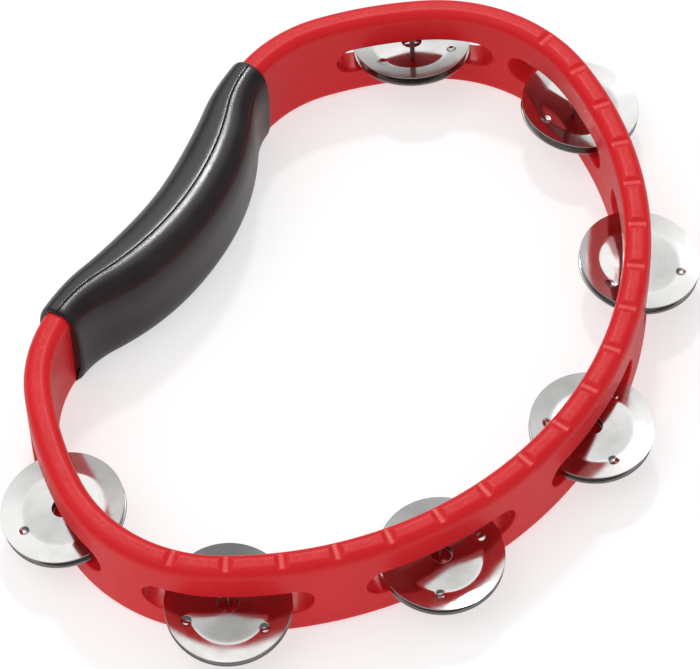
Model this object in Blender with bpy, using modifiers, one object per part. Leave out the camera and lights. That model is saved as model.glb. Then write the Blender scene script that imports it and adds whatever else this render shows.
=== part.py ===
"""Crescent tambourine: a moulded hoop with a bowed handle, a two-half grip and seven jingle pairs.

The hoop's centreline lies in the XY plane and is symmetric about the X axis. It is a chain of
tangent arcs: the wide playing arc at +X, a corner, a nearly straight run, a shoulder, and the
handle, which bows inwards at -X. Everything along the hoop is placed by its distance along
that centreline from the playing point, positive towards +Y. The hoop rests on z = 0.
"""
import math

import bmesh
import bpy
from mathutils import Matrix, Vector

MM = 0.001

# Hoop. Each arc is (radius, turn in degrees); the inward handle arc is worked out to close the hoop.
PLAYING_ARC = (143.4 * MM, 61.0)
CORNER_ARC = (59.2 * MM, 63.0)
RUN_ARC = (143.1 * MM, 16.0)
SHOULDER_ARC = (51.5 * MM, 61.6)
ARC_STEPS = (16, 14, 5, 11, 5)
HOOP_HEIGHT = 39.0 * MM
HOOP_THICKNESS = 9.8 * MM
HOOP_FILLET = 3.8 * MM
HOOP_FILLET_STEPS = 3

# Grooves pressed across the top of the playing edge, equally spaced on both sides of its middle.
GROOVE_COUNT = 19
GROOVE_PITCH = math.radians(7.5)
GROOVE_DEPTH = 0.9 * MM
GROOVE_WIDTH_TOP = 5.0 * MM
GROOVE_WIDTH_BOTTOM = 2.0 * MM

# Jingle slots, with the distance of each slot's middle from the playing point.
SLOT_LENGTH = 58.5 * MM
SLOT_HEIGHT = 12.3 * MM
SLOT_MIDDLE_Z = 18.9 * MM
SLOT_SPACING = 75.1 * MM
REAR_SLOT_DISTANCE = 222.8 * MM
SLOT_END_STEPS = 7
SLOT_CUT_DEPTH = 30.0 * MM

# Steel pins, pushed up from the underside into blind bores.
PIN_RADIUS = 1.0 * MM
PIN_BOTTOM = 0.6 * MM
PIN_TOP = 31.0 * MM
PIN_SIDES = 14
PIN_CHAMFER = 0.3 * MM

# Jingles: two steel dishes back to back, loose on the pin. Each is domed inside its crease.
JINGLE_RADIUS = 22.0 * MM
JINGLE_CREASE_RADIUS = 14.6 * MM
JINGLE_BORE_RADIUS = 3.65 * MM
JINGLE_SHEET = 0.7 * MM
JINGLE_DISH = 1.2 * MM
JINGLE_DOME = 0.9 * MM
JINGLE_STEPS = 32
JINGLE_PLAY = 1.5 * MM
PAIR_GAP = 0.3 * MM
# Lean of each pair, outer edge down, from the front pair (number 4) to the rear ones.
FRONT_PAIR = 4
PAIR_LEAN = (4.0, 5.5, 8.0, 9.0)

# Grip: two half shells round the handle, meeting in a seam along the top and the bottom.
GRIP_HALF_LENGTH = 67.0 * MM
GRIP_BOTTOM = 0.2 * MM
GRIP_TOP = 40.8 * MM
GRIP_END_WIDTH = 8.6 * MM
GRIP_OUTER_WIDTH = 14.2 * MM
GRIP_INNER_WIDTH = 12.6 * MM
GRIP_CROWN = 2.4
GRIP_FLANK = 3.6
GRIP_SWELL = 1.6
GRIP_WALL = 2.8 * MM
# The rounded lip at each end, as (share of its length from the end, share of its drop).
GRIP_LIP_LENGTH = 1.8 * MM
GRIP_LIP_DROP = 0.9 * MM
GRIP_LIP_PROFILE = ((0.0, 1.0), (0.3, 0.3), (1.0, 0.0))
GRIP_STATIONS = 17
GRIP_ARC_POINTS = 12
# Inside a half: a rib above and below that bears on the hoop, with a hollow pocket between them.
GRIP_RIB = 6.0 * MM
GRIP_RIB_RUN = 8.4 * MM
GRIP_LEAST_POCKET = 0.1 * MM
GRIP_SHOULDER = 2.66 * MM
HANDLE_RECESS = 2.4 * MM

# Gap kept between pieces that touch, and how far a cutter runs past what it cuts.
GAP = 0.3 * MM
CUT_MARGIN = 2.0 * MM

MERGE_DISTANCE = 0.01 * MM
SMOOTH_ANGLE = math.radians(35.0)


def clear_scene():
    for obj in list(bpy.data.objects):
        bpy.data.objects.remove(obj, do_unlink=True)


def make_collection(name, parent):
    collection = bpy.data.collections.new(name)
    parent.children.link(collection)
    return collection


def make_material(name, colour, roughness, metallic=0.0):
    material = bpy.data.materials.new(name)
    material.use_nodes = True
    shader = material.node_tree.nodes["Principled BSDF"]
    shader.inputs["Base Color"].default_value = (*colour, 1.0)
    shader.inputs["Roughness"].default_value = roughness
    shader.inputs["Metallic"].default_value = metallic
    return material


# ---------------------------------------------------------------- centreline

def walk_arc(point, heading, radius, turn):
    """Return the place and heading after an arc; a negative radius curves to the right."""
    side = math.copysign(1.0, radius)
    new_heading = heading + side * turn
    step = Vector((math.sin(new_heading) - math.sin(heading),
                   math.cos(heading) - math.cos(new_heading)))
    return point + radius * step, new_heading


def half_hoop_arcs():
    """Return the arcs from the playing point to the handle's middle, as (radius, turn) in radians."""
    arcs = []
    point = Vector((PLAYING_ARC[0], 0.0))
    heading = math.pi / 2
    for radius, degrees in (PLAYING_ARC, CORNER_ARC, RUN_ARC, SHOULDER_ARC):
        turn = math.radians(degrees)
        arcs.append((radius, turn))
        point, heading = walk_arc(point, heading, radius, turn)
    handle_turn = heading - 1.5 * math.pi
    arcs.append((-point.y / math.sin(handle_turn), handle_turn))
    return arcs


HALF_ARCS = half_hoop_arcs()
HALF_LENGTH = sum(abs(radius) * turn for radius, turn in HALF_ARCS)


def on_hoop(distance):
    """Return the centreline's point and outward normal at a distance from the playing point."""
    wrapped = (distance + HALF_LENGTH) % (2 * HALF_LENGTH) - HALF_LENGTH
    left = abs(wrapped)
    point = Vector((PLAYING_ARC[0], 0.0))
    heading = math.pi / 2
    for radius, turn in HALF_ARCS:
        part = min(left / abs(radius), turn)
        point, heading = walk_arc(point, heading, radius, part)
        left -= part * abs(radius)
        if left <= 0.0:
            break
    normal = Vector((math.sin(heading), -math.cos(heading)))
    if wrapped < 0.0:
        point.y = -point.y
        normal.y = -normal.y
    return point.to_3d(), normal.to_3d()


def hoop_distances():
    """Return evenly stepped distances round the whole hoop, each arc with its own step count."""
    marks = [0.0]
    for (radius, turn), steps in zip(HALF_ARCS, ARC_STEPS):
        start = marks[-1]
        length = abs(radius) * turn
        marks += [start + length * step / steps for step in range(1, steps + 1)]
    return marks + [-mark for mark in reversed(marks[1:-1])]


# ---------------------------------------------------------------- building blocks

def place(name, data, collection, material=None, parent=None):
    obj = bpy.data.objects.new(name, data)
    collection.objects.link(obj)
    obj.parent = parent
    if material:
        data.materials.append(material)
    return obj


def mesh_from_bmesh(name, bm):
    mesh = bpy.data.meshes.new(name)
    bm.to_mesh(mesh)
    bm.free()
    mesh.shade_smooth()
    mesh.set_sharp_from_angle(angle=SMOOTH_ANGLE)
    return mesh


def poly_curve(name, points, cyclic, dimensions="3D"):
    curve = bpy.data.curves.new(name, "CURVE")
    curve.dimensions = dimensions
    spline = curve.splines.new("POLY")
    spline.points.add(len(points) - 1)
    for target, point in zip(spline.points, points):
        target.co = (point[0], point[1], point[2], 1.0)
    spline.use_cyclic_u = cyclic
    return curve


def make_cutter(name, mesh, collection, parent=None):
    cutter = place(name, mesh, collection, parent=parent)
    cutter.hide_render = True
    cutter.display_type = "WIRE"
    return cutter


def cut_with(obj, cutters):
    boolean = obj.modifiers.new(cutters.name, "BOOLEAN")
    boolean.operation = "DIFFERENCE"
    boolean.operand_type = "COLLECTION"
    boolean.collection = cutters
    boolean.solver = "EXACT"


def hoop_transform(distance):
    """Return a matrix whose X axis points outwards and Z up, at a place on the hoop."""
    point, normal = on_hoop(distance)
    return Matrix.Translation(point) @ Matrix.Rotation(math.atan2(normal.y, normal.x), 4, "Z")


# ---------------------------------------------------------------- hoop

def hoop_section():
    """Return the hoop's section as (sideways, up), with the same fillet at all four corners."""
    side = HOOP_THICKNESS / 2 - HOOP_FILLET
    low, high = HOOP_FILLET, HOOP_HEIGHT - HOOP_FILLET
    corners = ((-side, low, 180.0), (side, low, 270.0), (side, high, 0.0), (-side, high, 90.0))
    points = []
    for centre_x, centre_z, first in corners:
        for step in range(HOOP_FILLET_STEPS + 1):
            angle = math.radians(first + 90.0 * step / HOOP_FILLET_STEPS)
            points.append((centre_x + HOOP_FILLET * math.cos(angle),
                           centre_z + HOOP_FILLET * math.sin(angle)))
    return points


def swept_hoop_mesh(scene_collection):
    """Sweep the section along the centreline and return it as a closed mesh."""
    section_points = [(x, y, 0.0) for x, y in hoop_section()]
    section = place("hoop_section", poly_curve("hoop_section", section_points, True, "2D"),
                    scene_collection)
    path_points = [on_hoop(distance)[0] for distance in hoop_distances()]
    path_curve = poly_curve("hoop_path", path_points, True)
    path_curve.twist_mode = "Z_UP"
    path_curve.bevel_mode = "OBJECT"
    path_curve.bevel_object = section
    path = place("hoop_path", path_curve, scene_collection)
    bpy.context.view_layer.update()
    depsgraph = bpy.context.evaluated_depsgraph_get()
    mesh = bpy.data.meshes.new_from_object(path.evaluated_get(depsgraph))
    bpy.data.objects.remove(path)
    bpy.data.objects.remove(section)
    bm = bmesh.new()
    bm.from_mesh(mesh)
    bpy.data.meshes.remove(mesh)
    bmesh.ops.remove_doubles(bm, verts=bm.verts, dist=MERGE_DISTANCE)
    bmesh.ops.recalc_face_normals(bm, faces=bm.faces)
    return mesh_from_bmesh("frame", bm)


def slot_mesh():
    """Return a stadium-shaped prism along X, as long as a jingle slot along Y."""
    radius = SLOT_HEIGHT / 2
    reach = SLOT_LENGTH / 2 - radius
    outline = []
    for centre, first in ((reach, -90.0), (-reach, 90.0)):
        for step in range(SLOT_END_STEPS + 1):
            angle = math.radians(first + 180.0 * step / SLOT_END_STEPS)
            outline.append((0.0, centre + radius * math.cos(angle), radius * math.sin(angle)))
    return prism_mesh("slot", outline, Vector((SLOT_CUT_DEPTH, 0.0, 0.0)))


def groove_mesh():
    """Return a trapezoid prism along X that presses one groove into the top of the hoop."""
    top = GROOVE_WIDTH_TOP / 2
    bottom = GROOVE_WIDTH_BOTTOM / 2
    flare = (top - bottom) / GROOVE_DEPTH
    wide = top + flare * CUT_MARGIN
    outline = [(0.0, -wide, CUT_MARGIN), (0.0, -bottom, -GROOVE_DEPTH),
               (0.0, bottom, -GROOVE_DEPTH), (0.0, wide, CUT_MARGIN)]
    return prism_mesh("groove", outline, Vector((HOOP_THICKNESS + 2 * CUT_MARGIN, 0.0, 0.0)))


def prism_mesh(name, outline, along):
    """Return the outline swept by a vector, centred on the outline's own plane."""
    bm = bmesh.new()
    corners = [bm.verts.new(Vector(point) - along / 2) for point in outline]
    face = bm.faces.new(corners)
    swept = bmesh.ops.extrude_face_region(bm, geom=[face])
    moved = [item for item in swept["geom"] if isinstance(item, bmesh.types.BMVert)]
    bmesh.ops.translate(bm, verts=moved, vec=along)
    bmesh.ops.recalc_face_normals(bm, faces=bm.faces)
    return mesh_from_bmesh(name, bm)


def cylinder_mesh(name, radius, bottom, top, sides, chamfer=0.0):
    bm = bmesh.new()
    bmesh.ops.create_cone(bm, cap_ends=True, segments=sides, radius1=radius, radius2=radius,
                          depth=top - bottom)
    bmesh.ops.translate(bm, verts=bm.verts, vec=(0.0, 0.0, (top + bottom) / 2))
    if chamfer:
        rims = [edge for edge in bm.edges if abs(edge.verts[0].co.z - edge.verts[1].co.z) < chamfer]
        bmesh.ops.bevel(bm, geom=rims, offset=chamfer, segments=1, affect="EDGES")
    return mesh_from_bmesh(name, bm)


def recess_mesh():
    """Return the block that shortens the hoop's underside inside the grip."""
    bm = bmesh.new()
    bmesh.ops.create_cube(bm, size=1.0)
    end, _ = on_hoop(HALF_LENGTH - GRIP_HALF_LENGTH)
    middle, _ = on_hoop(HALF_LENGTH)
    reach = HOOP_THICKNESS * 2
    width = middle.x - end.x + 2 * reach
    bmesh.ops.scale(bm, vec=(width, 2 * (end.y + GAP), 2 * HANDLE_RECESS), verts=bm.verts)
    bmesh.ops.translate(bm, verts=bm.verts, vec=((middle.x + end.x) / 2, 0.0, 0.0))
    return mesh_from_bmesh("handle_recess", bm)


def slot_distances():
    """Return each slot's distance from the playing point, from the +Y end of the handle round."""
    side = (SLOT_SPACING, 2 * SLOT_SPACING, REAR_SLOT_DISTANCE)
    return [*reversed(side), 0.0, *(-distance for distance in side)]


def add_frame(parts, cutters, base, material):
    frame = place("frame", swept_hoop_mesh(parts), parts, material, base)
    slots = make_collection("slot_cutters", cutters)
    bores = make_collection("bore_cutters", cutters)
    grooves = make_collection("groove_cutters", cutters)
    recess = make_collection("recess_cutters", cutters)
    slot = slot_mesh()
    bore = cylinder_mesh("bore", PIN_RADIUS + GAP, -GAP, PIN_TOP + GAP, PIN_SIDES)
    for number, distance in enumerate(slot_distances(), 1):
        where = hoop_transform(distance)
        cutter = make_cutter(f"slot_cutter_{number}", slot, slots, base)
        cutter.matrix_local = where @ Matrix.Translation((0.0, 0.0, SLOT_MIDDLE_Z))
        cutter = make_cutter(f"bore_cutter_{number}", bore, bores, base)
        cutter.matrix_local = where
    groove = groove_mesh()
    for number in range(GROOVE_COUNT):
        angle = (number - GROOVE_COUNT // 2) * GROOVE_PITCH
        cutter = make_cutter(f"groove_cutter_{number + 1}", groove, grooves, base)
        where = hoop_transform(angle * PLAYING_ARC[0])
        cutter.matrix_local = where @ Matrix.Translation((0.0, 0.0, HOOP_HEIGHT))
    make_cutter("handle_recess_cutter", recess_mesh(), recess, base)
    for group in (slots, bores, grooves, recess):
        cut_with(frame, group)
    return frame


# ---------------------------------------------------------------- pins and jingles

def add_pin(number, distance, parts, base, material):
    mesh = cylinder_mesh(f"pin_{number}", PIN_RADIUS, PIN_BOTTOM, PIN_TOP, PIN_SIDES, PIN_CHAMFER)
    pin = place(f"pin_{number}", mesh, parts, material, base)
    pin.matrix_local = hoop_transform(distance)


def jingle_profile_mesh(name):
    """Return the dish's section, down the outer edge first, with its crease on z = 0."""
    section = [(JINGLE_RADIUS, JINGLE_DISH + JINGLE_SHEET), (JINGLE_RADIUS, JINGLE_DISH),
               (JINGLE_CREASE_RADIUS, 0.0), (JINGLE_BORE_RADIUS, JINGLE_DOME),
               (JINGLE_BORE_RADIUS, JINGLE_DOME + JINGLE_SHEET),
               (JINGLE_CREASE_RADIUS, JINGLE_SHEET)]
    mesh = bpy.data.meshes.new(name)
    edges = [(index, (index + 1) % len(section)) for index in range(len(section))]
    mesh.from_pydata([(radius, 0.0, height) for radius, height in section], edges, [])
    return mesh


def add_jingle(name, axis, upper, lean, rest, parts, material):
    """Add one dish to the empty on its pin; the lower dish of a pair hangs upside down."""
    jingle = place(name, jingle_profile_mesh(name), parts, material, axis)
    screw = jingle.modifiers.new("turn", "SCREW")
    screw.steps = JINGLE_STEPS
    screw.render_steps = JINGLE_STEPS
    screw.use_merge_vertices = True
    screw.merge_threshold = MERGE_DISTANCE
    flip = Matrix.Identity(4) if upper else Matrix.Rotation(math.pi, 4, "X")
    shift = PAIR_GAP / 2 if upper else -PAIR_GAP / 2
    centre = Matrix.Translation((JINGLE_PLAY, 0.0, rest))
    tilt = Matrix.Rotation(lean, 4, "Y")
    jingle.matrix_local = centre @ tilt @ Matrix.Translation((0.0, 0.0, shift)) @ flip
    return jingle


def pair_rest_height(lean):
    """Return the height of a leaning pair's middle when its lower rim lies in the slot."""
    half_height = PAIR_GAP / 2 + JINGLE_SHEET + JINGLE_DISH
    reach = HOOP_THICKNESS / 2 - JINGLE_PLAY
    slot_bottom = SLOT_MIDDLE_Z - SLOT_HEIGHT / 2
    return slot_bottom + GAP + half_height * math.cos(lean) + reach * math.sin(lean)


def add_pair(number, distance, parts, base, material):
    lean = math.radians(PAIR_LEAN[abs(number - FRONT_PAIR)])
    axis = bpy.data.objects.new(f"pair_{number}_axis", None)
    parts.objects.link(axis)
    axis.parent = base
    axis.matrix_local = hoop_transform(distance)
    rest = pair_rest_height(lean)
    for side in ("upper", "lower"):
        add_jingle(f"jingle_{number}_{side}", axis, side == "upper", lean, rest, parts, material)


# ---------------------------------------------------------------- grip

def grip_width(along, middle_width):
    """Return the grip's reach from the centreline: fullest at the middle, slim at the ends."""
    share = min(abs(along) / GRIP_HALF_LENGTH, 1.0) ** GRIP_SWELL
    return GRIP_END_WIDTH + (middle_width - GRIP_END_WIDTH) * (0.5 + 0.5 * math.cos(math.pi * share))


def grip_outline(width, drop):
    """Return one half's section outline as (sideways, up), from the top seam round and back."""
    middle = (GRIP_TOP + GRIP_BOTTOM) / 2
    height = (GRIP_TOP - GRIP_BOTTOM) / 2 - drop
    seam = GAP / 2
    outside = []
    for step in range(GRIP_ARC_POINTS):
        angle = math.radians(90.0 - 180.0 * step / (GRIP_ARC_POINTS - 1))
        sideways = (width - drop) * max(math.cos(angle), 0.0) ** (2.0 / GRIP_CROWN)
        upwards = math.copysign(abs(math.sin(angle)) ** (2.0 / GRIP_FLANK), math.sin(angle))
        outside.append((max(sideways, seam), middle + height * upwards))
    core = HOOP_THICKNESS / 2 + GAP
    pocket = max(width - GRIP_WALL, core + GRIP_LEAST_POCKET)
    floor = HANDLE_RECESS - GAP
    roof = HOOP_HEIGHT + GAP
    bearing = roof - GRIP_SHOULDER
    inside = [(seam, floor), (core, floor), (core, floor + GRIP_RIB),
              (pocket, floor + GRIP_RIB_RUN), (pocket, bearing - GRIP_RIB_RUN),
              (core, bearing - GRIP_RIB), (core, bearing),
              (core - GRIP_SHOULDER, roof), (seam, roof)]
    return outside + inside


def grip_stations():
    """Return (distance along the grip, how far the end lip has dropped there)."""
    ends = [(GRIP_HALF_LENGTH - GRIP_LIP_LENGTH * share, drop) for share, drop in GRIP_LIP_PROFILE]
    inner = GRIP_HALF_LENGTH - 2 * GRIP_LIP_LENGTH
    middle = [(-inner + 2 * inner * step / (GRIP_STATIONS - 1), 0.0) for step in range(GRIP_STATIONS)]
    first = [(-along, drop) for along, drop in ends]
    return first + middle + list(reversed(ends))


def add_grip_half(name, side, middle_width, parts, base, material):
    """Loft one half of the grip; side is +1 for the outer half and -1 for the inner one."""
    bm = bmesh.new()
    rings = []
    for along, drop in grip_stations():
        point, normal = on_hoop(HALF_LENGTH + along)
        outline = grip_outline(grip_width(along, middle_width), drop * GRIP_LIP_DROP)
        ring = [bm.verts.new(point + normal * (side * sideways) + Vector((0.0, 0.0, up)))
                for sideways, up in outline]
        rings.append(ring)
    for ring, after in zip(rings, rings[1:]):
        for index in range(len(ring)):
            nearby = (index + 1) % len(ring)
            bm.faces.new((ring[index], ring[nearby], after[nearby], after[index]))
    bm.faces.new(rings[0])
    bm.faces.new(reversed(rings[-1]))
    bmesh.ops.recalc_face_normals(bm, faces=bm.faces)
    place(name, mesh_from_bmesh(name, bm), parts, material, base)


# ---------------------------------------------------------------- assembly

def centring_shift():
    """Return the X shift that puts the assembly's middle on the origin."""
    lean = math.radians(PAIR_LEAN[0])
    front = PLAYING_ARC[0] + JINGLE_PLAY + JINGLE_RADIUS * math.cos(lean)
    rear = 0.0
    for along, drop in grip_stations():
        point, normal = on_hoop(HALF_LENGTH + along)
        reach = grip_width(along, GRIP_OUTER_WIDTH) - drop * GRIP_LIP_DROP
        rear = min(rear, point.x + normal.x * reach)
    return -(front + rear) / 2


def build():
    clear_scene()
    scene = bpy.context.scene.collection
    parts = make_collection("tambourine", scene)
    cutters = make_collection("cutters", scene)
    red = make_material("red_abs", (0.62, 0.025, 0.03), 0.38)
    black = make_material("black_grip", (0.035, 0.035, 0.038), 0.45)
    steel = make_material("jingle_steel", (0.85, 0.85, 0.84), 0.12, 1.0)
    pin_steel = make_material("pin_steel", (0.6, 0.6, 0.6), 0.25, 1.0)
    base = bpy.data.objects.new("tambourine_base", None)
    parts.objects.link(base)
    base.location = (centring_shift(), 0.0, 0.0)
    add_frame(parts, cutters, base, red)
    add_grip_half("grip_outer_half", 1.0, GRIP_OUTER_WIDTH, parts, base, black)
    add_grip_half("grip_inner_half", -1.0, GRIP_INNER_WIDTH, parts, base, black)
    for number, distance in enumerate(slot_distances(), 1):
        add_pin(number, distance, parts, base, pin_steel)
        add_pair(number, distance, parts, base, steel)


build()
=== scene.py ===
"""The looks of the crescent tambourine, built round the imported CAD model.

Everything along the hoop is placed by its distance along the hoop's centreline from the playing
point, the middle of the edge at +X, and is positive towards +Y. Lengths are in metres.
"""
import math

import bmesh
import bpy
import numpy as np
from mathutils import Matrix, Vector


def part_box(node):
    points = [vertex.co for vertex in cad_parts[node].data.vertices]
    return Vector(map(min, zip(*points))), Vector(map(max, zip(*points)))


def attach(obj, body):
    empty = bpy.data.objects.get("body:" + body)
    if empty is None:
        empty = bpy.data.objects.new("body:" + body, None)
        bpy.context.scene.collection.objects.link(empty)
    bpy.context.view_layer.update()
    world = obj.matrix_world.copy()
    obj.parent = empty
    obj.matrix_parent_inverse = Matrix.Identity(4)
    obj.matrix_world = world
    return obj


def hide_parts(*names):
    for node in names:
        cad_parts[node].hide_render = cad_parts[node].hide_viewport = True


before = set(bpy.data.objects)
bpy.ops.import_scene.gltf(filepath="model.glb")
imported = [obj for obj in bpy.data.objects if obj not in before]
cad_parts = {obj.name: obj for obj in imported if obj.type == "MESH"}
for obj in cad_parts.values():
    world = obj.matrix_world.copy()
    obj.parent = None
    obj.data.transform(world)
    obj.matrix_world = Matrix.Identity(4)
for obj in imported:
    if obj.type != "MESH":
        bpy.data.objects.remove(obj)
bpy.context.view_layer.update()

MM = 0.001

# The hoop's centreline, as (radius, turn in degrees) from the playing point; the handle closes it.
HALF_HOOP = ((143.4 * MM, 61.0), (59.2 * MM, 63.0), (143.1 * MM, 16.0), (51.5 * MM, 61.6))
HOOP_HEIGHT = 39.0 * MM
HOOP_THICKNESS = 9.8 * MM
HOOP_FILLET = 3.8 * MM
LOWER_FILLET_STEPS = 10
UPPER_FILLET_STEPS = 14
FLAT_STEPS = 5
WALL_END_STEPS = 3

# Grooves pressed across the top, centred on the playing point.
GROOVE_PITCH = math.radians(7.5) * HALF_HOOP[0][0]
GROOVES_EACH_SIDE = 9
GROOVE_DEPTH = 0.75 * MM
GROOVE_HALF_TOP = 2.5 * MM
GROOVE_HALF_BOTTOM = 1.0 * MM
GROOVE_SOFTNESS = 0.32 * MM
GROOVE_BLEND = 0.25
STRIP_HALF_WIDTH = 0.7 * MM
STRIP_FADE = 1.6 * MM
STRIP_GROOVE_SHARE = 0.35

# Spacing of the hoop's stations: fine over the grooves, coarse beyond, close at the grip's end.
STATIONS_PER_PITCH = 44
COARSE_STATION = 0.8 * MM
BEFORE_GRIP = 0.5 * MM
AFTER_GRIP = 1.0 * MM
GRIP_STATIONS_HALF = 60

# Slots through the wall, each joined into a window of the wall's grid.
SLOT_LENGTH = 58.5 * MM
SLOT_HEIGHT = 12.3 * MM
SLOT_MIDDLE_Z = 18.9 * MM
SLOT_DISTANCES = (222.8 * MM, 150.2 * MM, 75.1 * MM, 0.0, -75.1 * MM, -150.2 * MM, -222.8 * MM)
OUTSIDE, INSIDE = 1, -1
MOUTH_ROUNDING = {OUTSIDE: 0.7 * MM, INSIDE: 0.4 * MM}
MOUTH_STEPS = 9
MOUTH_APPROACH = (0.22, 0.45, 0.68, 0.88)
SLOT_DEPTH_SHARES = (0.25, 0.5, 0.75)
SLOT_TABLE_REACH = 48.0 * MM
SLOT_TABLE_STEPS = 1201
WINDOW_MARGIN = 4.0 * MM
WINDOW_Z = (8.4 * MM, 29.4 * MM)
WINDOW_LEVELS = 14

# Pins and their blind holes; the hole's rings are (radius, height above the hoop's surface).
PIN_RADIUS = 1.0 * MM
PIN_BOTTOM = 0.6 * MM
PIN_TOP = 31.0 * MM
PIN_SIDES = 28
PIN_RINGS = 10
PIN_DOME_TURNS = np.radians(np.linspace(0.0, 84.0, 6))
PIN_DOME_FLATNESS = 0.5
PIN_HOLE = 1.3 * MM
PIN_HOLE_RINGS = ((PIN_HOLE + 0.3 * MM, 0.0), (PIN_HOLE + 0.08 * MM, 0.06 * MM),
                  (PIN_HOLE, 0.25 * MM), (PIN_HOLE, 2.0 * MM))
PIN_HOLE_REACH = (2.8 * MM, 2.6 * MM)
PIN_HOLE_COLUMNS = 4
PIN_HOLE_WIDTH = 2 * PIN_HOLE_COLUMNS + 3

# The grip's section is a superellipse: a soft crown exponent sideways, a fuller one up the flank.
GRIP_HALF_LENGTH = 67.0 * MM
GRIP_BOTTOM = 0.2 * MM
GRIP_TOP = 40.8 * MM
GRIP_END_WIDTH = 8.6 * MM
GRIP_OUTER_WIDTH = 14.2 * MM
GRIP_INNER_WIDTH = 12.6 * MM
GRIP_CROWN = 2.4
GRIP_FLANK = 3.6
GRIP_SWELL = 1.6
GRIP_OUTLINE_POINTS = 71
GRIP_STATIONS = 91
GRIP_LIP_LENGTH = 1.8 * MM
GRIP_LIP_DROP = 0.9 * MM
GRIP_LIP_GAP = 1.2 * MM
GRIP_SHARP = 48
ROUND_STEPS = 8
HANDLE_RECESS = 2.4 * MM
GRIP_SHOULDER = 2.66 * MM
SEAM_EDGE = 0.05 * MM
SEAM_ROUND = 0.35 * MM
GAP = 0.3 * MM

# One jingle: a low dome, a crease, a dish rising to the rim, and three dents beside the crease.
JINGLE_RADIUS = 22.0 * MM
JINGLE_CREASE = 14.6 * MM
JINGLE_BORE = 3.65 * MM
JINGLE_SHEET = 0.7 * MM
JINGLE_DISH = 1.2 * MM
JINGLE_DOME = 0.9 * MM
JINGLE_SIDES = 240
JINGLE_SHARP = 50
CREASE_BEND = 0.5 * MM
RIM_THINNING = 0.15 * MM
RIM_ROUNDNESS = 0.6
RIM_TURNS = (70, 40, 0, -40, -70)
DENTS = 3
DENT_PLACE = 15.5 * MM
DENT_RADIUS = 1.9 * MM
DENT_DEPTH = 0.55 * MM
DENT_POWER = 1.4
DENT_UNDERSIDE = 0.3
LIP_WIDTH = 0.3 * MM
# The bore's rolled edge, as (share of the lip's width, height above the underside).
BORE_EDGE = ((0.8, JINGLE_SHEET - 0.02 * MM), (0.5, JINGLE_SHEET - 0.06 * MM),
             (0.2, JINGLE_SHEET - 0.14 * MM), (0.0, JINGLE_SHEET - 0.26 * MM),
             (0.0, 0.5 * JINGLE_SHEET), (0.0, 0.25 * JINGLE_SHEET), (0.2, 0.05 * MM))
# Bands of rings, as (first radius, last radius, rings): closest over the crease and the dents.
JINGLE_BANDS = ((JINGLE_BORE + LIP_WIDTH, 12.6 * MM, 12), (12.9 * MM, 18.1 * MM, 32),
                (18.5 * MM, JINGLE_RADIUS - 0.3 * MM, 9))

# Each pair leans out of its slot as in the CAD, by PAIR_LEAN, and EXTRA_LEAN degrees more.
PAIR_GAP = 0.3 * MM
JINGLE_PLAY = 1.5 * MM
PAIR_LEAN = (9.0, 8.0, 5.5, 4.0, 5.5, 8.0, 9.0)
EXTRA_LEAN = (1.4, -0.3, 0.8, 0.2, -0.6, 1.3, -0.3)
DENT_ANGLES = (15.0, 1.9, 15.8, 87.7, 58.7, 114.1, 0.1)
LOWER_DENT_TURN = 37.0

RED_DEEP = (0.69, 0.012, 0.017)
RED_LIGHT = (0.74, 0.015, 0.020)
# Light pink of the painted glint specks on the top strip, which stand in for highlights.
RED_PAINTED_GLINT = (0.80, 0.16, 0.17)
BLACK_DEEP = (0.020, 0.0165, 0.0175)
BLACK_LIGHT = (0.029, 0.024, 0.0255)
STEEL_LIGHT = (0.64, 0.635, 0.625)
STEEL_DULL = (0.58, 0.573, 0.562)
WIRE_DARK = (0.42, 0.41, 0.40)
WIRE_LIGHT = (0.66, 0.65, 0.64)
PAPER_DARK = (0.49, 0.49, 0.49)
PAPER_LIGHT = (0.52, 0.52, 0.52)
WHITE = (1.0, 1.0, 1.0, 1.0)

# The stretch of each noise that is spread over a range of colour or roughness.
FULL_RANGE = (0.0, 1.0)
NOISE_SPREAD = (0.3, 0.7)
# Painted glint specks: the stretch of the grain noise that is shown lighter on the top strip.
PAINTED_GLINT_SPREAD = (0.56, 0.66)
WEAR_SPREAD = (0.4, 0.85)
SMUDGE_SPREAD = (0.35, 0.7)
SMUDGE_GLOSS_SPREAD = (0.35, 0.75)
# How strongly the painted glint specks lighten the top strip's colour.
PAINTED_GLINT_SHARE = 0.55
FINE_SHARE = 0.25
RED_ROUGHNESS = (0.27, 0.34)
STRIP_ROUGHNESS = 0.12
BLACK_ROUGHNESS = (0.17, 0.24)
STEEL_ROUGHNESS = (0.07, 0.16)
WIRE_ROUGHNESS = (0.2, 0.38)

FLOOR_HALF_SIZE = 3.0
FLOOR_STEPS = 24
FLOOR_Z = -0.0002
FLOOR_GLOW = 0.6
GLOSSY_DIMMING = 0.65
BACKDROP = 0.95
SKY_FILL = 0.6
SKY_BASE = 0.15
# The reflected panel: where its middle is, and how far from there it is full and gone, in degrees.
PANEL_AZIMUTH, PANEL_ELEVATION = math.radians(128.0), math.radians(50.0)
PANEL_FULL, PANEL_GONE = math.radians(12.0), math.radians(52.0)
PANEL_STRENGTH = 1.25
# Lamps, as name, place, size, watts, and whether reflections show them; all face the part.
LIGHTS = (
    ("fill_softbox", (-0.5, -0.6, 1.3), (1.2, 1.2), 5.0, False),
    ("key_lamp", (-0.505, 0.8, 1.33), (0.15, 0.11), 5.6, True),
)

CAMERA_LENS = 196.5
CAMERA_SENSOR = 36.0
CAMERA_CLIP = 20.0
CAMERA_DIRECTION = (-0.3100, 0.4994, -0.8091)
CAMERA_TARGET = (-0.0175, 0.0030, -0.0010)
CAMERA_DISTANCE = 1.3855
CAMERA_ROLL = -1.76


# ---------------------------------------------------------------- centreline

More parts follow.
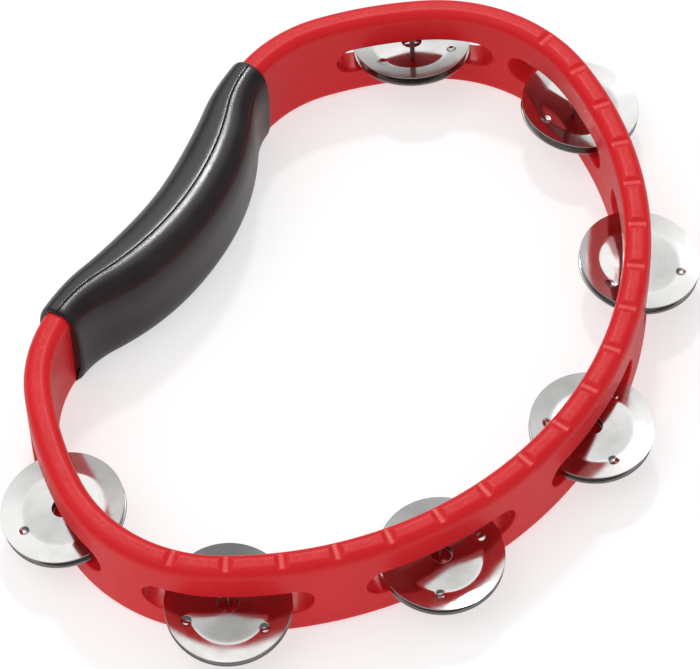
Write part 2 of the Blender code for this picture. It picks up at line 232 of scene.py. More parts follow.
def walk(point, heading, radius, turn):
    """Return places and headings after turning by each amount along an arc; radius may be negative."""
    new = heading + math.copysign(1.0, radius) * turn
    step = np.stack([np.sin(new) - math.sin(heading), math.cos(heading) - np.cos(new)], -1)
    return point + radius * step, new


def half_hoop_arcs():
    """Return half the hoop's arcs as (radius, turn in radians), with the inward-bowed handle last."""
    arcs = []
    point, heading = np.array([HALF_HOOP[0][0], 0.0]), math.pi / 2
    for radius, degrees in HALF_HOOP:
        turn = math.radians(degrees)
        arcs.append((radius, turn))
        point, heading = walk(point, heading, radius, turn)
    handle_turn = heading - 1.5 * math.pi
    arcs.append((-point[1] / math.sin(handle_turn), handle_turn))
    return arcs


ARCS = half_hoop_arcs()
HALF_LENGTH = sum(abs(radius) * turn for radius, turn in ARCS)
SHIFT_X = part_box("frame")[1].x - HALF_HOOP[0][0] - HOOP_THICKNESS / 2


def centreline(distances):
    """Return the centreline's points and outward normals, in the part's frame, as (n, 2) arrays."""
    wrapped = (np.asarray(distances, float) + HALF_LENGTH) % (2 * HALF_LENGTH) - HALF_LENGTH
    far = np.abs(wrapped)
    points = np.zeros((len(far), 2))
    headings = np.zeros(len(far))
    point, heading, start = np.array([HALF_HOOP[0][0], 0.0]), math.pi / 2, 0.0
    for radius, turn in ARCS:
        length = abs(radius) * turn
        inside = far >= start
        turned = (far[inside] - start) / abs(radius)
        points[inside], headings[inside] = walk(point, heading, radius, turned)
        point, heading = walk(point, heading, radius, turn)
        start += length
    side = np.where(wrapped < 0.0, -1.0, 1.0)
    normals = np.stack([np.sin(headings), -np.cos(headings) * side], -1)
    points[:, 0] += SHIFT_X
    points[:, 1] *= side
    return points, normals


def on_hoop(distances, offsets, heights):
    """Return 3-D points at distances along the hoop, offsets outwards and heights."""
    distances, offsets, heights = np.broadcast_arrays(distances, offsets, heights)
    points, normals = centreline(distances.ravel())
    flat = points + normals * offsets.reshape(-1, 1)
    return np.column_stack([flat, heights.ravel()]).reshape(*distances.shape, 3)


# ---------------------------------------------------------------- mesh pile

class Pile:
    """Points and faces gathered for one mesh."""

    def __init__(self):
        self.points = []
        self.quads = []
        self.others = []
        self.count = 0

    def add(self, points):
        """Add points and return their indices, in the points' own arrangement."""
        points = np.asarray(points, float)
        shape = points.shape[:-1]
        self.points.append(points.reshape(-1, 3))
        start = self.count
        self.count += self.points[-1].shape[0]
        return np.arange(start, self.count).reshape(shape)

    def strip(self, first, second):
        """Join two closed rings of points with quads."""
        a, b = np.append(first, first[0]), np.append(second, second[0])
        self.quads.append(np.stack([a[:-1], a[1:], b[1:], b[:-1]], -1))

    def grid(self, index, keep=None):
        """Face a grid of points; keep says which of its cells are faced."""
        cells = np.stack([index[:-1, :-1], index[1:, :-1], index[1:, 1:], index[:-1, 1:]], -1)
        if keep is None:
            keep = np.ones(cells.shape[:2], bool)
        self.quads.append(cells[keep])

    def cap(self, row, reverse=False):
        """Close a ring of points with one face."""
        row = list(map(int, row))
        self.others.append(row[::-1] if reverse else row)

    def mesh(self, name):
        """Make a smooth-shaded mesh of everything gathered."""
        mesh = bpy.data.meshes.new(name)
        points = np.concatenate(self.points)
        quads = np.concatenate(self.quads) if self.quads else np.zeros((0, 4), int)
        others = [np.array(row) for row in self.others]
        corners = np.concatenate([quads.ravel(), *others]).astype(np.int32)
        sizes = np.array([4] * len(quads) + [len(row) for row in self.others], np.int32)
        mesh.vertices.add(len(points))
        mesh.vertices.foreach_set("co", points.astype(np.float32).ravel())
        mesh.loops.add(len(corners))
        mesh.loops.foreach_set("vertex_index", corners)
        mesh.polygons.add(len(sizes))
        mesh.polygons.foreach_set("loop_start", (np.cumsum(sizes) - sizes).astype(np.int32))
        mesh.polygons.foreach_set("loop_total", sizes)
        mesh.update(calc_edges=True)
        mesh.validate()
        mesh.shade_smooth()
        return mesh


def recalculate(mesh):
    """Turn all faces outwards."""
    bm = bmesh.new()
    bm.from_mesh(mesh)
    bmesh.ops.recalc_face_normals(bm, faces=bm.faces)
    bm.to_mesh(mesh)
    bm.free()


def piece(name, mesh, material, body, nodes, matrix=None, sharp=None):
    """Make an object of the mesh, dress it, tie it to its body and material slot, and hide the CAD nodes it
    stands in for.
    """
    if sharp:
        mesh.set_sharp_from_angle(angle=math.radians(sharp))
    mesh.materials.append(material)
    obj = bpy.data.objects.new(name, mesh)
    bpy.context.scene.collection.objects.link(obj)
    if matrix is not None:
        obj.matrix_world = matrix
    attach(obj, body)
    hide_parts(*nodes)
    return obj


# ---------------------------------------------------------------- hoop

def arc_points(centre, radius, first, last, steps):
    """Return points along an arc between two angles in degrees."""
    angles = np.radians(np.linspace(first, last, steps + 1))
    return np.column_stack([centre[0] + radius * np.cos(angles), centre[1] + radius * np.sin(angles)])


def hoop_section():
    """Return the closed section as (offset, height), and where each wall's slot window starts."""
    half = HOOP_THICKNESS / 2
    flat = half - HOOP_FILLET
    low, high = HOOP_FILLET, HOOP_HEIGHT - HOOP_FILLET
    wall = np.concatenate([np.linspace(low, WINDOW_Z[0], WALL_END_STEPS + 1)[1:-1],
                           np.linspace(*WINDOW_Z, WINDOW_LEVELS + 1),
                           np.linspace(WINDOW_Z[1], high, WALL_END_STEPS + 1)[1:-1]])
    across = np.linspace(-flat, flat, FLAT_STEPS + 1)[1:-1]
    parts = [
        np.column_stack([across, np.zeros(len(across))]),
        arc_points((flat, low), HOOP_FILLET, -90, 0, LOWER_FILLET_STEPS),
        np.column_stack([np.full(len(wall), half), wall]),
        arc_points((flat, high), HOOP_FILLET, 0, 90, UPPER_FILLET_STEPS),
        np.column_stack([across[::-1], np.full(len(across), HOOP_HEIGHT)]),
        arc_points((-flat, high), HOOP_FILLET, 90, 180, UPPER_FILLET_STEPS),
        np.column_stack([np.full(len(wall), -half), wall[::-1]]),
        arc_points((-flat, low), HOOP_FILLET, 180, 270, LOWER_FILLET_STEPS),
    ]
    starts = np.cumsum([0] + [len(part) for part in parts])
    before_window = WALL_END_STEPS - 1
    windows = {OUTSIDE: starts[2] + before_window, INSIDE: starts[6] + before_window + WINDOW_LEVELS}
    return np.concatenate(parts), windows


def hoop_stations():
    """Return station distances all round, fine over the grooves and coarser elsewhere."""
    pitches = GROOVES_EACH_SIDE + 0.5
    fine_end = pitches * GROOVE_PITCH
    fine = np.linspace(0.0, fine_end, int(pitches * STATIONS_PER_PITCH) + 1)
    grip_end = HALF_LENGTH - GRIP_HALF_LENGTH
    coarse_steps = round((grip_end - fine_end) / COARSE_STATION)
    coarse = np.linspace(fine_end, grip_end - BEFORE_GRIP, coarse_steps)[1:]
    step = grip_end + np.array([-GAP, -GAP / 3, GAP / 3])
    rest = np.linspace(grip_end + AFTER_GRIP, HALF_LENGTH, GRIP_STATIONS_HALF)
    half = np.concatenate([fine, coarse, step, rest])
    return np.concatenate([half, -half[1:-1][::-1]])


def groove_depth(distances):
    """Return how deep the pressed grooves are at each distance."""
    nearest = np.round(distances / GROOVE_PITCH)
    away = np.abs(distances - nearest * GROOVE_PITCH)
    slope = (GROOVE_HALF_TOP - away) / (GROOVE_HALF_TOP - GROOVE_HALF_BOTTOM)
    depth = GROOVE_DEPTH * np.clip(slope, 0.0, 1.0)
    depth[np.abs(nearest) > GROOVES_EACH_SIDE] = 0.0
    return depth


def soft_lower(a, b, softness):
    """Return the lower of a and b with a rounded change-over."""
    gap = np.clip(0.5 + 0.5 * (b - a) / softness, 0.0, 1.0)
    return b * (1 - gap) + a * gap - softness * gap * (1 - gap) * 0.5


def window_ring(span, levels):
    """Return the places round a rectangular window of grid cells, as (stations, levels)."""
    i, j = np.arange(span), np.arange(levels)
    along = np.concatenate([i, np.full(levels, span), i[::-1] + 1, np.zeros(levels, int)])
    up = np.concatenate([np.zeros(span, int), j, np.full(span, levels), j[::-1] + 1])
    return along, up


class HoopGrid:
    """The hoop's skin as a closed grid of stations by section points, with the cells still faced."""

    def __init__(self, pile, stations, section, points):
        self.pile = pile
        self.stations = stations
        self.section = section
        self.index = pile.add(points)
        self.keep = np.ones(self.index.shape, bool)

    def open_window(self, start, end, first, width, direction):
        """Unface a window between two distances; return the stations and section points round it."""
        order = np.argsort(self.stations)
        low, high = order[np.searchsorted(self.stations[order], [start, end])]
        count, around = self.index.shape
        span = (high - low) % count
        i, j = window_ring(span, width)
        cells = first + np.arange(width) if direction == 1 else first - 1 - np.arange(width)
        self.keep[np.ix_((low + np.arange(span)) % count, cells % around)] = False
        return (low + i) % count, (first + direction * j) % around

    def face(self):
        """Face every cell that is left, round the hoop and round the section."""
        closed = np.concatenate([self.index, self.index[:1]])
        self.pile.grid(np.concatenate([closed, closed[:, :1]], 1), self.keep)


def build_hoop(material):
    section, windows = hoop_section()
    stations = hoop_stations()
    depth = groove_depth(stations)[:, None]
    heights = np.broadcast_to(section[:, 1], (len(stations), len(section)))
    pressed = soft_lower(heights, HOOP_HEIGHT - depth, GROOVE_SOFTNESS)
    weight = np.clip(depth / (GROOVE_BLEND * GROOVE_DEPTH), 0.0, 1.0)
    pressed = heights * (1 - weight) + pressed * weight
    heights = np.where(heights > HOOP_HEIGHT - HOOP_FILLET, pressed, heights)
    in_grip = (HALF_LENGTH - np.abs(stations) < GRIP_HALF_LENGTH + GAP / 2)[:, None]
    heights = np.where(in_grip, np.maximum(heights, HANDLE_RECESS), heights)
    pile = Pile()
    grid = HoopGrid(pile, stations, section, on_hoop(stations[:, None], section[:, 0], heights))
    for distance in SLOT_DISTANCES:
        cut_slot(grid, windows, distance)
        cut_pin_hole(grid, distance)
    grid.face()
    mesh = pile.mesh("hoop")
    add_grain_strip(mesh, stations, section)
    return piece("hoop", mesh, material, "hoop", ["frame"])


def slot_frame(distance):
    """Return a slot's centre and its direction along the hoop."""
    points, normals = centreline([distance])
    return points[0], np.array([-normals[0, 1], normals[0, 0]])


def add_slot_ring(pile, last, places, offset, distance, side):
    """Add a ring at (along, up) places from the slot's centre, joined to the ring before it."""
    centre, direction = slot_frame(distance)
    near = distance + np.linspace(-SLOT_TABLE_REACH, SLOT_TABLE_REACH, SLOT_TABLE_STEPS)
    points, normals = centreline(near)
    along = (points + normals * offset - centre) @ direction
    distances = np.interp(places[:, 0], along, near)
    ring = pile.add(on_hoop(distances, offset, places[:, 1] + SLOT_MIDDLE_Z))
    pile.strip(*((last, ring) if side == OUTSIDE else (ring, last)))
    return ring


def sink_mouth(grid, windows, distance, side):
    """Round one mouth of a slot; return its last ring and the (along, up) places of the slot's edge."""
    half_window = SLOT_LENGTH / 2 + WINDOW_MARGIN
    rows, columns = grid.open_window(distance - half_window, distance + half_window,
                                     windows[side], WINDOW_LEVELS, side)
    offset = side * HOOP_THICKNESS / 2
    centre, along = slot_frame(distance)
    wall, normals = centreline(grid.stations[rows])
    flat = np.column_stack([(wall + normals * offset - centre) @ along,
                            grid.section[columns, 1] - SLOT_MIDDLE_Z])
    reach = (SLOT_LENGTH - SLOT_HEIGHT) / 2
    core = np.column_stack([np.clip(flat[:, 0], -reach, reach), np.zeros(len(flat))])
    unit = (flat - core) / np.linalg.norm(flat - core, axis=1, keepdims=True)
    rounding = MOUTH_ROUNDING[side]
    mouth = core + unit * (SLOT_HEIGHT / 2 + rounding)
    last = grid.index[rows, columns]
    for share in MOUTH_APPROACH:
        last = add_slot_ring(grid.pile, last, flat + (mouth - flat) * share, offset, distance, side)
    for turn in np.radians(np.linspace(0.0, 90.0, MOUTH_STEPS)):
        radius = SLOT_HEIGHT / 2 + rounding * (1 - math.sin(turn))
        inward = rounding * (1 - math.cos(turn))
        last = add_slot_ring(grid.pile, last, core + unit * radius, offset - side * inward,
                             distance, side)
    return last, core + unit * SLOT_HEIGHT / 2


def cut_slot(grid, windows, distance):
    """Open a slot through both walls, with rounded mouths, joined into the grid."""
    last, outer_places = sink_mouth(grid, windows, distance, OUTSIDE)
    inner_ring, inner_places = sink_mouth(grid, windows, distance, INSIDE)
    start = HOOP_THICKNESS / 2 - MOUTH_ROUNDING[OUTSIDE]
    end = MOUTH_ROUNDING[INSIDE] - HOOP_THICKNESS / 2
    for share in SLOT_DEPTH_SHARES:
        places = outer_places + (inner_places - outer_places) * share
        last = add_slot_ring(grid.pile, last, places, start + (end - start) * share, distance, OUTSIDE)
    grid.pile.strip(last, inner_ring)


def cut_pin_hole(grid, distance):
    """Sink the pin's blind hole into the underside, following its fillets where they are reached."""
    before, after = PIN_HOLE_REACH
    rows, columns = grid.open_window(distance - before, distance + after,
                                     grid.index.shape[1] - PIN_HOLE_COLUMNS, PIN_HOLE_WIDTH, 1)
    last = grid.index[rows, columns]
    centre, normal = centreline([distance])
    flat = np.concatenate(grid.pile.points)[last][:, :2] - centre[0]
    unit = flat / np.linalg.norm(flat, axis=1, keepdims=True)
    for radius, height in PIN_HOLE_RINGS:
        sideways = np.abs(unit @ normal[0]) * radius
        past = np.maximum(sideways - HOOP_THICKNESS / 2 + HOOP_FILLET, 0.0)
        surface = HOOP_FILLET - np.sqrt(HOOP_FILLET ** 2 - past ** 2)
        ring = grid.pile.add(np.column_stack([centre[0] + unit * radius, surface + height]))
        grid.pile.strip(last, ring)
        last = ring
    grid.pile.cap(last)


def add_grain_strip(mesh, stations, section):
    """Mark the worn, grainy strip along the top between the grooves, which also gets lighter specks of
    painted glint in its colour.
    """
    flat = np.clip(1.0 - (np.abs(section[:, 0]) - STRIP_HALF_WIDTH) / STRIP_FADE, 0.0, 1.0)
    flat *= section[:, 1] > HOOP_HEIGHT - HOOP_FILLET
    groove = groove_depth(stations) / (STRIP_GROOVE_SHARE * GROOVE_DEPTH)
    plain = np.clip(1.0 - groove, 0.0, 1.0)
    values = np.zeros(len(mesh.vertices), np.float32)
    values[:len(stations) * len(section)] = (plain[:, None] * flat[None, :]).ravel()
    attribute = mesh.attributes.new("top_strip", "FLOAT", "POINT")
    attribute.data.foreach_set("value", values)


# ---------------------------------------------------------------- grip

def grip_width(along, middle_width):
    """Return a half's width at a place along the grip: widest in the middle, narrow at the ends."""
    share = np.minimum(np.abs(along) / GRIP_HALF_LENGTH, 1.0) ** GRIP_SWELL
    swell = 0.5 + 0.5 * np.cos(math.pi * share)
    return GRIP_END_WIDTH + (middle_width - GRIP_END_WIDTH) * swell


def grip_outline(width, drop):
    """Return one half's outline as (sideways, up): outer skin from the top seam down, then the inside."""
    middle = (GRIP_TOP + GRIP_BOTTOM) / 2
    height = (GRIP_TOP - GRIP_BOTTOM) / 2 - drop
    first = math.acos(((SEAM_EDGE + SEAM_ROUND) / (width - drop)) ** (GRIP_CROWN / 2.0))
    angles = np.linspace(first, -first, GRIP_OUTLINE_POINTS)
    sideways = (width - drop) * np.cos(angles) ** (2.0 / GRIP_CROWN)
    upwards = height * np.copysign(np.abs(np.sin(angles)) ** (2.0 / GRIP_FLANK), angles)
    turn = np.radians(np.linspace(0.0, 90.0, ROUND_STEPS))[:-1]
    lip = np.column_stack([SEAM_EDGE + SEAM_ROUND * (1.0 - np.cos(turn)),
                           upwards[0] - SEAM_ROUND * (1.0 - np.sin(turn))])
    seam_foot = upwards[0] - 2.0 * SEAM_ROUND
    skin = np.concatenate([[[SEAM_EDGE, seam_foot]], lip, np.column_stack([sideways, upwards]),
                           lip[::-1] * (1.0, -1.0), [[SEAM_EDGE, -seam_foot]]])
    skin[:, 1] += middle
    core = HOOP_THICKNESS / 2 + GAP / 2
    floor, roof = HANDLE_RECESS - GAP / 2, HOOP_HEIGHT + GAP / 2
    inside = [(SEAM_EDGE, floor), (core, floor), (core, roof - GRIP_SHOULDER),
              (core - GRIP_SHOULDER, roof), (SEAM_EDGE, roof)]
    return np.concatenate([skin, inside])


def build_grip_half(name, node, side, middle_width, material):
    """Sweep one half shell of the grip along the handle, with rounded ends."""
    lip = np.radians(np.linspace(0.0, 90.0, ROUND_STEPS))
    ends = [(GRIP_HALF_LENGTH - GRIP_LIP_LENGTH * (1 - math.cos(turn)), 1 - math.sin(turn)) for turn in lip]
    inner = GRIP_HALF_LENGTH - GRIP_LIP_LENGTH - GRIP_LIP_GAP
    middle = [(along, 0.0) for along in np.linspace(-inner, inner, GRIP_STATIONS)]
    pile = Pile()
    rings = []
    for along, drop in [(-along, drop) for along, drop in ends] + middle + ends[::-1]:
        outline = grip_outline(grip_width(along, middle_width), drop * GRIP_LIP_DROP)
        distances = np.full(len(outline), HALF_LENGTH + along)
        rings.append(pile.add(on_hoop(distances, side * outline[:, 0], outline[:, 1])))
    for ring, after in zip(rings, rings[1:]):
        pile.strip(*((ring, after) if side == OUTSIDE else (after, ring)))
    pile.cap(rings[0], reverse=side == INSIDE)
    pile.cap(rings[-1], reverse=side == OUTSIDE)
    mesh = pile.mesh(name)
    recalculate(mesh)
    return piece(name, mesh, material, "hoop", [node], sharp=GRIP_SHARP)


# ---------------------------------------------------------------- pins and jingles

def build_pin(number, material):
    """Turn a pin with domed ends, standing in the middle of its slot."""
    dome_height = PIN_RADIUS * PIN_DOME_FLATNESS
    rise = dome_height * (1 - np.sin(PIN_DOME_TURNS))
    straight = np.linspace(PIN_BOTTOM + dome_height, PIN_TOP - dome_height, PIN_RINGS + 2)[1:-1]
    heights = np.concatenate([PIN_BOTTOM + rise[::-1], straight, PIN_TOP - rise])
    dome_radii = PIN_RADIUS * np.cos(PIN_DOME_TURNS)
    radii = np.concatenate([dome_radii[::-1], np.full(PIN_RINGS, PIN_RADIUS), dome_radii])[:, None]
    around = np.linspace(0.0, 2 * math.pi, PIN_SIDES, endpoint=False)
    tall = np.broadcast_to(heights[:, None], (len(heights), PIN_SIDES))
    pile = Pile()
    rings = pile.add(np.stack([radii * np.cos(around), radii * np.sin(around), tall], -1))
    for ring, after in zip(rings, rings[1:]):
        pile.strip(ring, after)
    pile.cap(rings[0], reverse=True)
    pile.cap(rings[-1])
    points, _ = centreline([SLOT_DISTANCES[number - 1]])
    place = Matrix.Translation((points[0, 0], points[0, 1], 0.0))
    return piece(f"pin_{number}_wire", pile.mesh("pin"), material, "hoop", [f"pin_{number}"],
                 place)


def jingle_height(radius):
    """Return the underside's height: a low dome falling to a rounded crease, then the dish's slope."""
    rise = JINGLE_DISH / (JINGLE_RADIUS - JINGLE_CREASE)
    fall = JINGLE_DOME / (JINGLE_CREASE - JINGLE_BORE)
    past = radius - JINGLE_CREASE
    round_v = np.sqrt(past ** 2 + CREASE_BEND ** 2)
    return rise * 0.5 * (round_v + past) + fall * 0.5 * (round_v - past)


def dent_depth(x, y, first_angle):
    """Return how deep the three dents are at each place, from 0 to 1."""
    dent = np.zeros_like(x)
    for turn in range(DENTS):
        angle = first_angle + turn * 2 * math.pi / DENTS
        away = np.hypot(x - DENT_PLACE * math.cos(angle), y - DENT_PLACE * math.sin(angle))
        dent = np.maximum(dent, np.clip(1.0 - (away / DENT_RADIUS) ** 2, 0.0, 1.0) ** DENT_POWER)
    return dent


def jingle_mesh(dent_angle):
    """Return one dish with its crease near z = 0, three dents beside the crease and a rolled bore."""
    around = np.linspace(0.0, 2 * math.pi, JINGLE_SIDES, endpoint=False)
    radii = np.concatenate([np.linspace(*band) for band in JINGLE_BANDS])
    grid_r, grid_a = np.meshgrid(radii, around, indexing="ij")
    x, y = grid_r * np.cos(grid_a), grid_r * np.sin(grid_a)
    dent = DENT_DEPTH * dent_depth(x, y, dent_angle)
    under = jingle_height(grid_r)
    outwards = np.clip((grid_r - JINGLE_CREASE) / (JINGLE_RADIUS - JINGLE_CREASE), 0.0, 1.0)
    pile = Pile()
    top = pile.add(np.stack([x, y, under + JINGLE_SHEET - dent], -1))
    lower = under + RIM_THINNING * outwards - DENT_UNDERSIDE * dent * outwards
    bottom = pile.add(np.stack([x, y, lower], -1))
    for ring, after in zip(top, top[1:]):
        pile.strip(after, ring)
    for ring, after in zip(bottom, bottom[1:]):
        pile.strip(ring, after)

    def turned(radius, height):
        level = np.full(len(around), height)
        return pile.add(np.stack([radius * np.cos(around), radius * np.sin(around), level], -1))

    half_rim = (JINGLE_SHEET - RIM_THINNING) / 2
    rim_middle = jingle_height(JINGLE_RADIUS) + JINGLE_SHEET - half_rim
    last = top[-1]
    for turn in np.radians(RIM_TURNS):
        ring = turned(JINGLE_RADIUS - half_rim * RIM_ROUNDNESS * (1 - math.cos(turn)),
                      rim_middle + half_rim * math.sin(turn))
        pile.strip(ring, last)
        last = ring
    pile.strip(bottom[-1], last)
    last = top[0]
    for share, height in BORE_EDGE:
        ring = turned(JINGLE_BORE + LIP_WIDTH * share, jingle_height(JINGLE_BORE) + height)
        pile.strip(last, ring)
        last = ring
    pile.strip(last, bottom[0])
    mesh = pile.mesh("jingle")
    recalculate(mesh)
    return mesh


def pair_place(number):
    """Return the matrix of a pair's middle, leaning in its slot, with its own X and Y near the world's."""
    points, normals = centreline([SLOT_DISTANCES[number - 1]])
    lean = math.radians(PAIR_LEAN[number - 1])
    half_height = PAIR_GAP / 2 + JINGLE_SHEET + JINGLE_DISH
    rest = (SLOT_MIDDLE_Z - SLOT_HEIGHT / 2 + GAP + half_height * math.cos(lean)
            + (HOOP_THICKNESS / 2 - JINGLE_PLAY) * math.sin(lean))
    middle = points[0] + normals[0] * JINGLE_PLAY
    across = Vector((-normals[0, 1], normals[0, 0], 0.0))
    lean += math.radians(EXTRA_LEAN[number - 1])
    return Matrix.Translation((middle[0], middle[1], rest)) @ Matrix.Rotation(lean, 4, across)


def build_pair(number, material):
    """Place a pair of jingles back to back: the lower one is the upper one turned over."""
    upright, turned_over = Matrix.Identity(4), Matrix.Rotation(math.pi, 4, "X")
    for side, shift, flip, turn in (("upper", PAIR_GAP / 2, upright, 0.0),
                                    ("lower", -PAIR_GAP / 2, turned_over, LOWER_DENT_TURN)):
        name = f"jingle_{number}_{side}"
        mesh = jingle_mesh(math.radians(DENT_ANGLES[number - 1] + turn))
        place = pair_place(number) @ Matrix.Translation((0.0, 0.0, shift)) @ flip
        piece(f"{name}_dish", mesh, material, name, [name], place, sharp=JINGLE_SHARP)


# ---------------------------------------------------------------- material nodes

def new_material(name):
    material = bpy.data.materials.new(name)
    material.use_nodes = True
    return material, material.node_tree, material.node_tree.nodes["Principled BSDF"]


def set_inputs(node, **values):
    """Set a node's sockets by name, with an underscore for each space."""
    for name, value in values.items():
        node.inputs[name.replace("_", " ")].default_value = value


def millimetres(tree):
    """Return a vector output: the object's own coordinates in millimetres."""
    source = tree.nodes.new("ShaderNodeTexCoord")
    scale = tree.nodes.new("ShaderNodeVectorMath")
    scale.operation = "SCALE"
    set_inputs(scale, Scale=1.0 / MM)
    tree.links.new(source.outputs["Object"], scale.inputs[0])
    return scale.outputs[0]


def noise(tree, vector, scale, detail, roughness):
    """Return noise with its features about 1 / scale millimetres wide."""
    node = tree.nodes.new("ShaderNodeTexNoise")
    set_inputs(node, Scale=scale, Detail=detail, Roughness=roughness)
    tree.links.new(vector, node.inputs["Vector"])
    return node.outputs["Fac"]


def ramp(tree, value, source, target):
    """Map a value from one range to another, held at its ends."""
    node = tree.nodes.new("ShaderNodeMapRange")
    set_inputs(node, From_Min=source[0], From_Max=source[1], To_Min=target[0], To_Max=target[1])
    tree.links.new(value, node.inputs["Value"])
    return node.outputs["Result"]


def mix_colour(tree, factor, first, second):
    """Mix two colours, each a tuple or a node's output."""
    node = tree.nodes.new("ShaderNodeMix")
    node.data_type = "RGBA"
    tree.links.new(factor, node.inputs["Factor"])
    for socket, value in ((node.inputs[6], first), (node.inputs[7], second)):
        if isinstance(value, tuple):
            socket.default_value = (*value, 1.0)
        else:
            tree.links.new(value, socket)
    return node.outputs[2]


def combine(tree, operation, *values):
    """Return a maths node's output; each value is a number or a node's output."""
    node = tree.nodes.new("ShaderNodeMath")
    node.operation = operation
    for socket, value in zip(node.inputs, values):
        if isinstance(value, (int, float)):
            socket.default_value = value
        else:
            tree.links.new(value, socket)
    return node.outputs[0]


def bump(tree, height, distance, strength):
    """Return a normal roughened by a height."""
    node = tree.nodes.new("ShaderNodeBump")
    set_inputs(node, Distance=distance, Strength=strength)
    tree.links.new(height, node.inputs["Height"])
    return node.outputs["Normal"]


# ---------------------------------------------------------------- materials

def red_plastic():
    """Glossy moulded ABS: slight flow marks in colour and gloss, and a grainy strip along the top with
    lighter specks of painted glint.
    """
    material, tree, shader = new_material("red_abs")
    link = tree.links.new
    where = millimetres(tree)
    flow = noise(tree, where, scale=0.035, detail=4.0, roughness=0.55)
    peel = noise(tree, where, scale=0.3, detail=1.0, roughness=0.4)
    grain = noise(tree, where, scale=2.6, detail=2.0, roughness=0.65)
    strip = tree.nodes.new("ShaderNodeAttribute")
    strip.attribute_name = "top_strip"
    on_strip = strip.outputs["Fac"]
    # Painted glints: lighter specks in the grain on the top strip stand in for highlights.
    painted_glints = combine(tree, "MULTIPLY", ramp(tree, grain, PAINTED_GLINT_SPREAD, FULL_RANGE), on_strip)
    painted_glints = combine(tree, "MULTIPLY", painted_glints, PAINTED_GLINT_SHARE)
    base = mix_colour(tree, ramp(tree, flow, NOISE_SPREAD, FULL_RANGE), RED_DEEP, RED_LIGHT)
    link(mix_colour(tree, painted_glints, base, RED_PAINTED_GLINT), shader.inputs["Base Color"])
    gloss = ramp(tree, peel, NOISE_SPREAD, RED_ROUGHNESS)
    gloss = combine(tree, "ADD", gloss, combine(tree, "MULTIPLY", on_strip, STRIP_ROUGHNESS))
    link(gloss, shader.inputs["Roughness"])
    height = combine(tree, "MULTIPLY", grain, on_strip)
    link(bump(tree, height, distance=0.16 * MM, strength=0.8), shader.inputs["Normal"])
    set_inputs(shader, IOR=1.5, Specular_IOR_Level=0.28)
    return material


def black_plastic():
    """Satin moulded grip: fine spark-erosion grain, with polish where the hand rubs."""
    material, tree, shader = new_material("black_grip")
    link = tree.links.new
    where = millimetres(tree)
    rub = noise(tree, where, scale=0.06, detail=4.0, roughness=0.6)
    fine = noise(tree, where, scale=3.2, detail=3.0, roughness=0.6)
    base = mix_colour(tree, ramp(tree, rub, NOISE_SPREAD, FULL_RANGE), BLACK_DEEP, BLACK_LIGHT)
    link(base, shader.inputs["Base Color"])
    wear = combine(tree, "ADD", rub, combine(tree, "MULTIPLY", fine, FINE_SHARE))
    link(ramp(tree, wear, WEAR_SPREAD, BLACK_ROUGHNESS), shader.inputs["Roughness"])
    link(bump(tree, fine, distance=0.03 * MM, strength=0.6), shader.inputs["Normal"])
    return material


def jingle_steel():
    """Bright rolled steel: fine turned rings, soft smudges and a trace of handling marks."""
    material, tree, shader = new_material("bright_steel")
    link = tree.links.new
    where = millimetres(tree)
    rings = tree.nodes.new("ShaderNodeTexWave")
    rings.wave_type = "RINGS"
    rings.rings_direction = "Z"
    set_inputs(rings, Scale=1.4, Distortion=1.2, Detail=2.0, Detail_Scale=0.6)
    link(where, rings.inputs["Vector"])
    smudge = noise(tree, where, scale=0.16, detail=4.0, roughness=0.6)
    set_inputs(shader, Metallic=1.0)
    base = mix_colour(tree, ramp(tree, smudge, SMUDGE_SPREAD, FULL_RANGE), STEEL_LIGHT, STEEL_DULL)
    link(base, shader.inputs["Base Color"])
    link(ramp(tree, smudge, SMUDGE_GLOSS_SPREAD, STEEL_ROUGHNESS), shader.inputs["Roughness"])
    link(bump(tree, rings.outputs["Fac"], distance=0.0016 * MM, strength=0.5), shader.inputs["Normal"])
    return material


def pin_steel():
    """Drawn steel wire: lengthwise drawing lines and a duller skin."""
    material, tree, shader = new_material("drawn_wire")
    link = tree.links.new
    stretch = tree.nodes.new("ShaderNodeMapping")
    set_inputs(stretch, Scale=(6.0, 6.0, 0.15))
    link(millimetres(tree), stretch.inputs["Vector"])
    lines = noise(tree, stretch.outputs[0], scale=1.0, detail=3.0, roughness=0.6)
    set_inputs(shader, Metallic=1.0)
    link(mix_colour(tree, lines, WIRE_DARK, WIRE_LIGHT), shader.inputs["Base Color"])
    link(ramp(tree, lines, NOISE_SPREAD, WIRE_ROUGHNESS), shader.inputs["Roughness"])
    link(bump(tree, lines, distance=0.01 * MM, strength=0.6), shader.inputs["Normal"])
    return material


def floor_material():
    """Pale paper that glows a little, and glows less in reflections."""
    material, tree, shader = new_material("paper_floor")
    soft = noise(tree, millimetres(tree), scale=0.004, detail=2.0, roughness=0.5)
    tree.links.new(mix_colour(tree, soft, PAPER_DARK, PAPER_LIGHT), shader.inputs["Base Color"])
    set_inputs(shader, Roughness=0.8, Emission_Color=WHITE)
    rays = tree.nodes.new("ShaderNodeLightPath")
    glow = combine(tree, "MULTIPLY_ADD", rays.outputs["Is Glossy Ray"], -GLOSSY_DIMMING * FLOOR_GLOW,
                   FLOOR_GLOW)
    tree.links.new(glow, shader.inputs["Emission Strength"])
    return material


# ---------------------------------------------------------------- studio

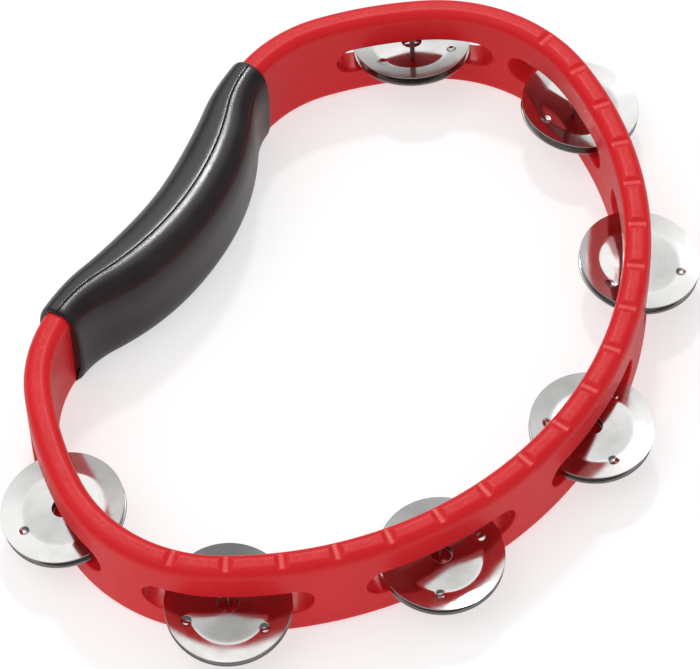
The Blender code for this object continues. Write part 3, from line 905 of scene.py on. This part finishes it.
def sky(tree):
    """Return the sky's brightness: a broad soft panel high behind the part, dim elsewhere."""
    direction = tree.nodes.new("ShaderNodeTexCoord").outputs["Generated"]
    dot = tree.nodes.new("ShaderNodeVectorMath")
    dot.operation = "DOT_PRODUCT"
    dot.inputs[1].default_value = (math.cos(PANEL_ELEVATION) * math.cos(PANEL_AZIMUTH),
                                   math.cos(PANEL_ELEVATION) * math.sin(PANEL_AZIMUTH),
                                   math.sin(PANEL_ELEVATION))
    tree.links.new(direction, dot.inputs[0])
    angle = combine(tree, "ARCCOSINE", dot.outputs["Value"])
    panel = ramp(tree, angle, (PANEL_GONE, PANEL_FULL), (0.0, PANEL_STRENGTH))
    panel.node.interpolation_type = "SMOOTHSTEP"
    return combine(tree, "ADD", panel, SKY_BASE)


def build_world():
    """Soft studio surroundings: even fill light, one broad reflected panel and a plain white background."""
    world = bpy.data.worlds.new("studio")
    world.use_nodes = True
    tree = world.node_tree
    background = tree.nodes["Background"]
    rays = tree.nodes.new("ShaderNodeLightPath")
    strength = tree.nodes.new("ShaderNodeMix")
    strength.inputs[2].default_value = SKY_FILL
    tree.links.new(rays.outputs["Is Glossy Ray"], strength.inputs["Factor"])
    tree.links.new(sky(tree), strength.inputs[3])
    seen = tree.nodes.new("ShaderNodeMix")
    seen.inputs[3].default_value = BACKDROP
    tree.links.new(rays.outputs["Is Camera Ray"], seen.inputs["Factor"])
    tree.links.new(strength.outputs[0], seen.inputs[2])
    tree.links.new(seen.outputs[0], background.inputs["Strength"])
    set_inputs(background, Color=WHITE)
    bpy.context.scene.world = world


def build_studio():
    """Lay the floor, then set the world and the lamps."""
    marks = np.linspace(-FLOOR_HALF_SIZE, FLOOR_HALF_SIZE, FLOOR_STEPS + 1)
    pile = Pile()
    pile.grid(pile.add(np.stack(np.broadcast_arrays(marks[:, None], marks[None, :], FLOOR_Z), -1)))
    floor_mesh = pile.mesh("floor")
    floor = bpy.data.objects.new("floor", floor_mesh)
    floor_mesh.materials.append(floor_material())
    bpy.context.scene.collection.objects.link(floor)
    build_world()
    for name, place, size, power, glossy in LIGHTS:
        light = bpy.data.lights.new(name, "AREA")
        light.shape = "RECTANGLE"
        light.size, light.size_y = size
        light.energy = power
        lamp = bpy.data.objects.new(name, light)
        lamp.visible_glossy = glossy
        lamp.location = place
        lamp.rotation_euler = (-Vector(place)).to_track_quat("-Z", "Y").to_euler()
        bpy.context.scene.collection.objects.link(lamp)


def build_camera():
    """Look down at the part from its +X, -Y side with a long lens."""
    data = bpy.data.cameras.new("camera")
    data.lens = CAMERA_LENS
    data.sensor_width = CAMERA_SENSOR
    data.clip_end = CAMERA_CLIP
    camera = bpy.data.objects.new("camera", data)
    bpy.context.scene.collection.objects.link(camera)
    looking = Vector(CAMERA_DIRECTION).normalized()
    turn = looking.to_track_quat("-Z", "Y").to_matrix().to_4x4()
    roll = Matrix.Rotation(math.radians(CAMERA_ROLL), 4, "Z")
    place = Matrix.Translation(Vector(CAMERA_TARGET) - looking * CAMERA_DISTANCE)
    camera.matrix_world = place @ turn @ roll
    bpy.context.scene.camera = camera


# ---------------------------------------------------------------- build

def build():
    build_hoop(red_plastic())
    black = black_plastic()
    build_grip_half("grip_outer_shell", "grip_outer_half", OUTSIDE, GRIP_OUTER_WIDTH, black)
    build_grip_half("grip_inner_shell", "grip_inner_half", INSIDE, GRIP_INNER_WIDTH, black)
    steel, wire = jingle_steel(), pin_steel()
    for number in range(1, len(SLOT_DISTANCES) + 1):
        build_pin(number, wire)
        build_pair(number, steel)
    build_studio()
    build_camera()
    view_settings = bpy.context.scene.view_settings
    view_settings.view_transform = "Standard"


build()
